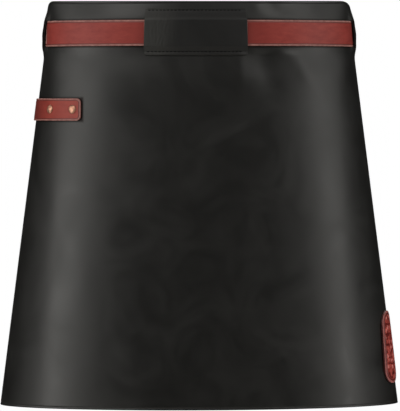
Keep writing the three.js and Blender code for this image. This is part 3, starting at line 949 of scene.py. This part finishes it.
def makeRivet(number, along):
    headAt = panel["thickness"] + towelLoop["thickness"] + 2 * gap
    capAt = -towelLoop["thickness"] - 2 * gap
    profile = [(radius, capAt - deep) for radius, deep in rivet["cap"]]
    profile += [(rivet["shank"], capAt), (rivet["shank"], headAt)]
    profile += [(radius, headAt + high) for radius, high in rivet["rim"]]
    domeAt = profile[-1][1]
    for a in np.radians(np.linspace(0, rivet["domeEndDeg"], rivet["domeSteps"])):
        profile.append((rivet["domeRadius"] * math.cos(a), domeAt + rivet["domeRise"] * math.sin(a)))
    out = facing(-along, rivet["height"])
    right = out.orthogonal().normalized()
    up = out.cross(right)
    foot = Vector(layPanel(-along, rivet["height"], 0))
    sides = rivet["sides"]
    turn = np.linspace(0, 2 * np.pi, sides, endpoint=False)
    points = []
    faces = []
    for radius, height in profile:
        for angle in turn:
            ring = right * (radius * math.cos(angle) * mm) + up * (radius * math.sin(angle) * mm)
            points.append(foot + ring + out * (height * mm))
    for k in range(len(profile) - 1):
        for j in range(sides):
            after = (j + 1) % sides
            faces.append((k * sides + j, k * sides + after, (k + 1) * sides + after, (k + 1) * sides + j))
    faces.append(tuple(reversed(range(sides))))
    faces.append(tuple((len(profile) - 1) * sides + j for j in range(sides)))
    made = addMesh(f"towelLoopRivet{number}", points, faces, [rivetBrass])
    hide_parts(f"towel_loop_rivet_{number}")


# Side label: a stamped pill of red leather near the lower right corner, with a raised rim and pebbled field
label = {
    "width": 34,
    "height": 84,
    "centreZ": -364.5,
    "fromEdge": 30,
    "tilt": 0.12,
    "corner": 16,
    "thickness": 2.6,
    "edgeRound": 0.9,
    "wallSlot": slotOf["wall"],
    "crease": 3.6,
    "creaseHalf": 1.0,
    "creaseDepth": 0.6,
    "rimSlot": slotOf["edge"],
    "margin": 0.4,
    "spacing": 0.8,
    "outlineStep": 0.9,
    "pebble": 6.5,
    "pebbleScatter": 0.3,
    "pebbleHeight": 0.95,
    "pebbleLeast": 0.5,
    "pebbleReach": 0.5,
    "pebbleFlat": 1.5,
    "pebbleSeed": 7,
    "fieldShare": 0.5,  # depth of the field as a share of the crease's
    "rimEase": 1.2,
    # field heights: below the first it is painted shade, above the second a painted highlight
    "hollow": 0,
    "paintedLitTops": 0.36,
}


def layLabel(across, up, n):
    z = label["centreZ"] + up
    middle = halfCut(z) - label["fromEdge"] + label["tilt"] * up
    return layPanel(middle + across, z, panel["thickness"] + gap + n)


def pebbles():
    size = label["pebble"]
    centres = hexGrid((-label["width"], -label["height"]), (label["width"], label["height"]), size)
    rng = np.random.default_rng(label["pebbleSeed"])
    centres = centres + rng.uniform(-label["pebbleScatter"], label["pebbleScatter"], centres.shape) * size
    heights = rng.uniform(label["pebbleLeast"], 1, len(centres)) * label["pebbleHeight"]

    def relief(across, up):
        raised = np.zeros_like(across)
        for (x, z), height in zip(centres, heights):
            far = ((across - x) ** 2 + (up - z) ** 2) / (label["pebbleReach"] * size) ** 2
            raised = np.maximum(raised, height * np.exp(-far ** label["pebbleFlat"]))
        inRim = label["width"] / 2 - label["crease"] - label["creaseHalf"]
        straight = label["height"] / 2 - label["corner"]
        rim = np.hypot(across, np.maximum(0, np.abs(up) - straight))
        field = label["fieldShare"] * label["creaseDepth"]
        return (raised - field) * smooth((inRim - rim) / label["rimEase"])

    return relief


def makeLabel():
    half = label["width"] / 2
    tall = label["height"] / 2
    outline = roundedRectangle(-half, -tall, half, tall, label["corner"], label["outlineStep"])
    relief = pebbles()

    # hollows take a darker red as painted shade, raised tops a pale pink as a painted highlight
    def tone(across, up):
        height = relief(across, up)
        return np.select([height < label["hollow"], height > label["paintedLitTops"]],
                         [slotOf["line"], slotOf["paintedLitTops"]], slotOf["field"])

    materials = [redLabel, redFlesh, labelRim, labelCreaseAndHollowShade, labelWall, labelTopHighlight]
    made = cutPiece("sideLabel", label, outline, [], layLabel, materials, relief, tone)
    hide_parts("side_label")


# Floor: a plain pale disc well below the hem, evenly bright to the eye, with little light for the leather
floor = {"height": -1.3, "radius": 7.0, "sides": 96, "glow": 1.2, "even": 0.75}


# Painted studio board: pale, matt and almost even
def paleStudioFloor():
    material, tree, where = newMaterial("paleStudioFloor")
    mottle = addNode(tree, "ShaderNodeTexNoise", {"Vector": where, "Scale": perMm(400),
                                                  "Detail": 2.0}).outputs["Fac"]
    face = addNode(tree, "ShaderNodeValToRGB", {"Fac": mottle},
                   ramp=((0, "#dedcd8"), (1, "#e6e4e0"))).outputs["Color"]
    shown = addNode(tree, "ShaderNodeLightPath").outputs["Is Camera Ray"]
    share = addNode(tree, "ShaderNodeMath", {0: shown, 1: floor["even"]},
                    operation="MULTIPLY").outputs["Value"]
    lit = addNode(tree, "ShaderNodeBsdfPrincipled", {"Base Color": face, "Roughness": 0.8})
    even = addNode(tree, "ShaderNodeEmission", {"Color": face, "Strength": floor["glow"]})
    both = addNode(tree, "ShaderNodeMixShader", {0: share, 1: lit.outputs[0], 2: even.outputs[0]})
    addNode(tree, "ShaderNodeOutputMaterial", {"Surface": both.outputs[0]})
    return material


def makeFloor():
    turn = np.linspace(0, 2 * np.pi, floor["sides"], endpoint=False)
    rim = np.stack([np.cos(turn), np.sin(turn)], 1) * floor["radius"]
    points = [(x, y, floor["height"]) for x, y in rim]
    mesh = bpy.data.meshes.new("studioFloor")
    mesh.from_pydata(points, [], [tuple(range(len(points)))])
    mesh.materials.append(paleStudioFloor())
    made = bpy.data.objects.new("studioFloor", mesh)
    bpy.context.scene.collection.objects.link(made)


makePanel()
makeClasp()
makeBelt()
makeTunnel()
makeStitches()
makeTowelLoop()
for number, along in enumerate(rivet["along"], 1):
    makeRivet(number, along)
makeLabel()
makeFloor()

# Soft boxes: name, azimuth from the front, elevation, lean of its top outwards, width, height, watts
softBoxes = [
    ("leftStrip", -68, 1, 28, 0.7, 2.0, 14.8),
    ("leftInner", -56, 1, 0, 0.5, 2.0, 6.4),
    ("rightStrip", 64, -1, 0, 0.45, 2.0, 9.2),
    ("rightOuter", 73, -1, 28, 0.6, 2.0, 6.6),
    ("leftSide", -95, 24, 0, 0.7, 1.0, 4),
    ("rightSide", 97, 24, 0, 0.7, 1.0, 2.8),
    ("upperLeft", -42, 36, 0, 0.8, 0.7, 11.5),
    ("upperRight", 50, 35, 0, 1.1, 0.7, 11.5),
    ("frontFill", 0, 13, 0, 2.4, 0.7, 1.1),
    ("frontTop", 0, 54, 0, 2.0, 0.8, 6.0),
    ("backTop", 180, 52, 0, 2.4, 1.6, 32),
    ("backLow", 180, -8, 0, 1.4, 0.8, 7),
]
lamps = {"away": 2.4, "tint": "#fffdf8", "aim": (0, -0.05, -0.2)}
for name, azimuth, elevation, lean, width, height, watts in softBoxes:
    data = bpy.data.lights.new(name, "AREA")
    data.shape = "RECTANGLE"
    data.size = width
    data.size_y = height
    data.energy = watts
    data.color = colour(lamps["tint"])[:3]
    a = math.radians(azimuth)
    e = math.radians(elevation)
    away = Vector((math.sin(a) * math.cos(e), -math.cos(a) * math.cos(e), math.sin(e)))
    light = bpy.data.objects.new(name, data)
    light.location = Vector(lamps["aim"]) + away * lamps["away"]
    turn = Quaternion((0, 0, 1), math.radians(lean if azimuth < 0 else -lean))
    light.rotation_euler = (away.to_track_quat("Z", "Y") @ turn).to_euler()
    bpy.context.scene.collection.objects.link(light)

# World: white behind the object, dim all round it
room = {"backdrop": "#ffffff", "bright": 1.0, "dim": 0.01}
world = bpy.data.worlds.new("studio")
bpy.context.scene.world = world
world.use_nodes = True
worldTree = world.node_tree
worldTree.nodes.clear()
seen = addNode(worldTree, "ShaderNodeLightPath").outputs["Is Camera Ray"]
white = colour(room["backdrop"])
dark = addNode(worldTree, "ShaderNodeBackground", {"Color": white, "Strength": room["dim"]})
bright = addNode(worldTree, "ShaderNodeBackground", {"Color": white, "Strength": room["bright"]})
mixed = addNode(worldTree, "ShaderNodeMixShader", {0: seen, 1: dark.outputs[0], 2: bright.outputs[0]})
addNode(worldTree, "ShaderNodeOutputWorld", {"Surface": mixed.outputs[0]})

bpy.context.scene.view_settings.view_transform = "Standard"
print("stage and lights made")
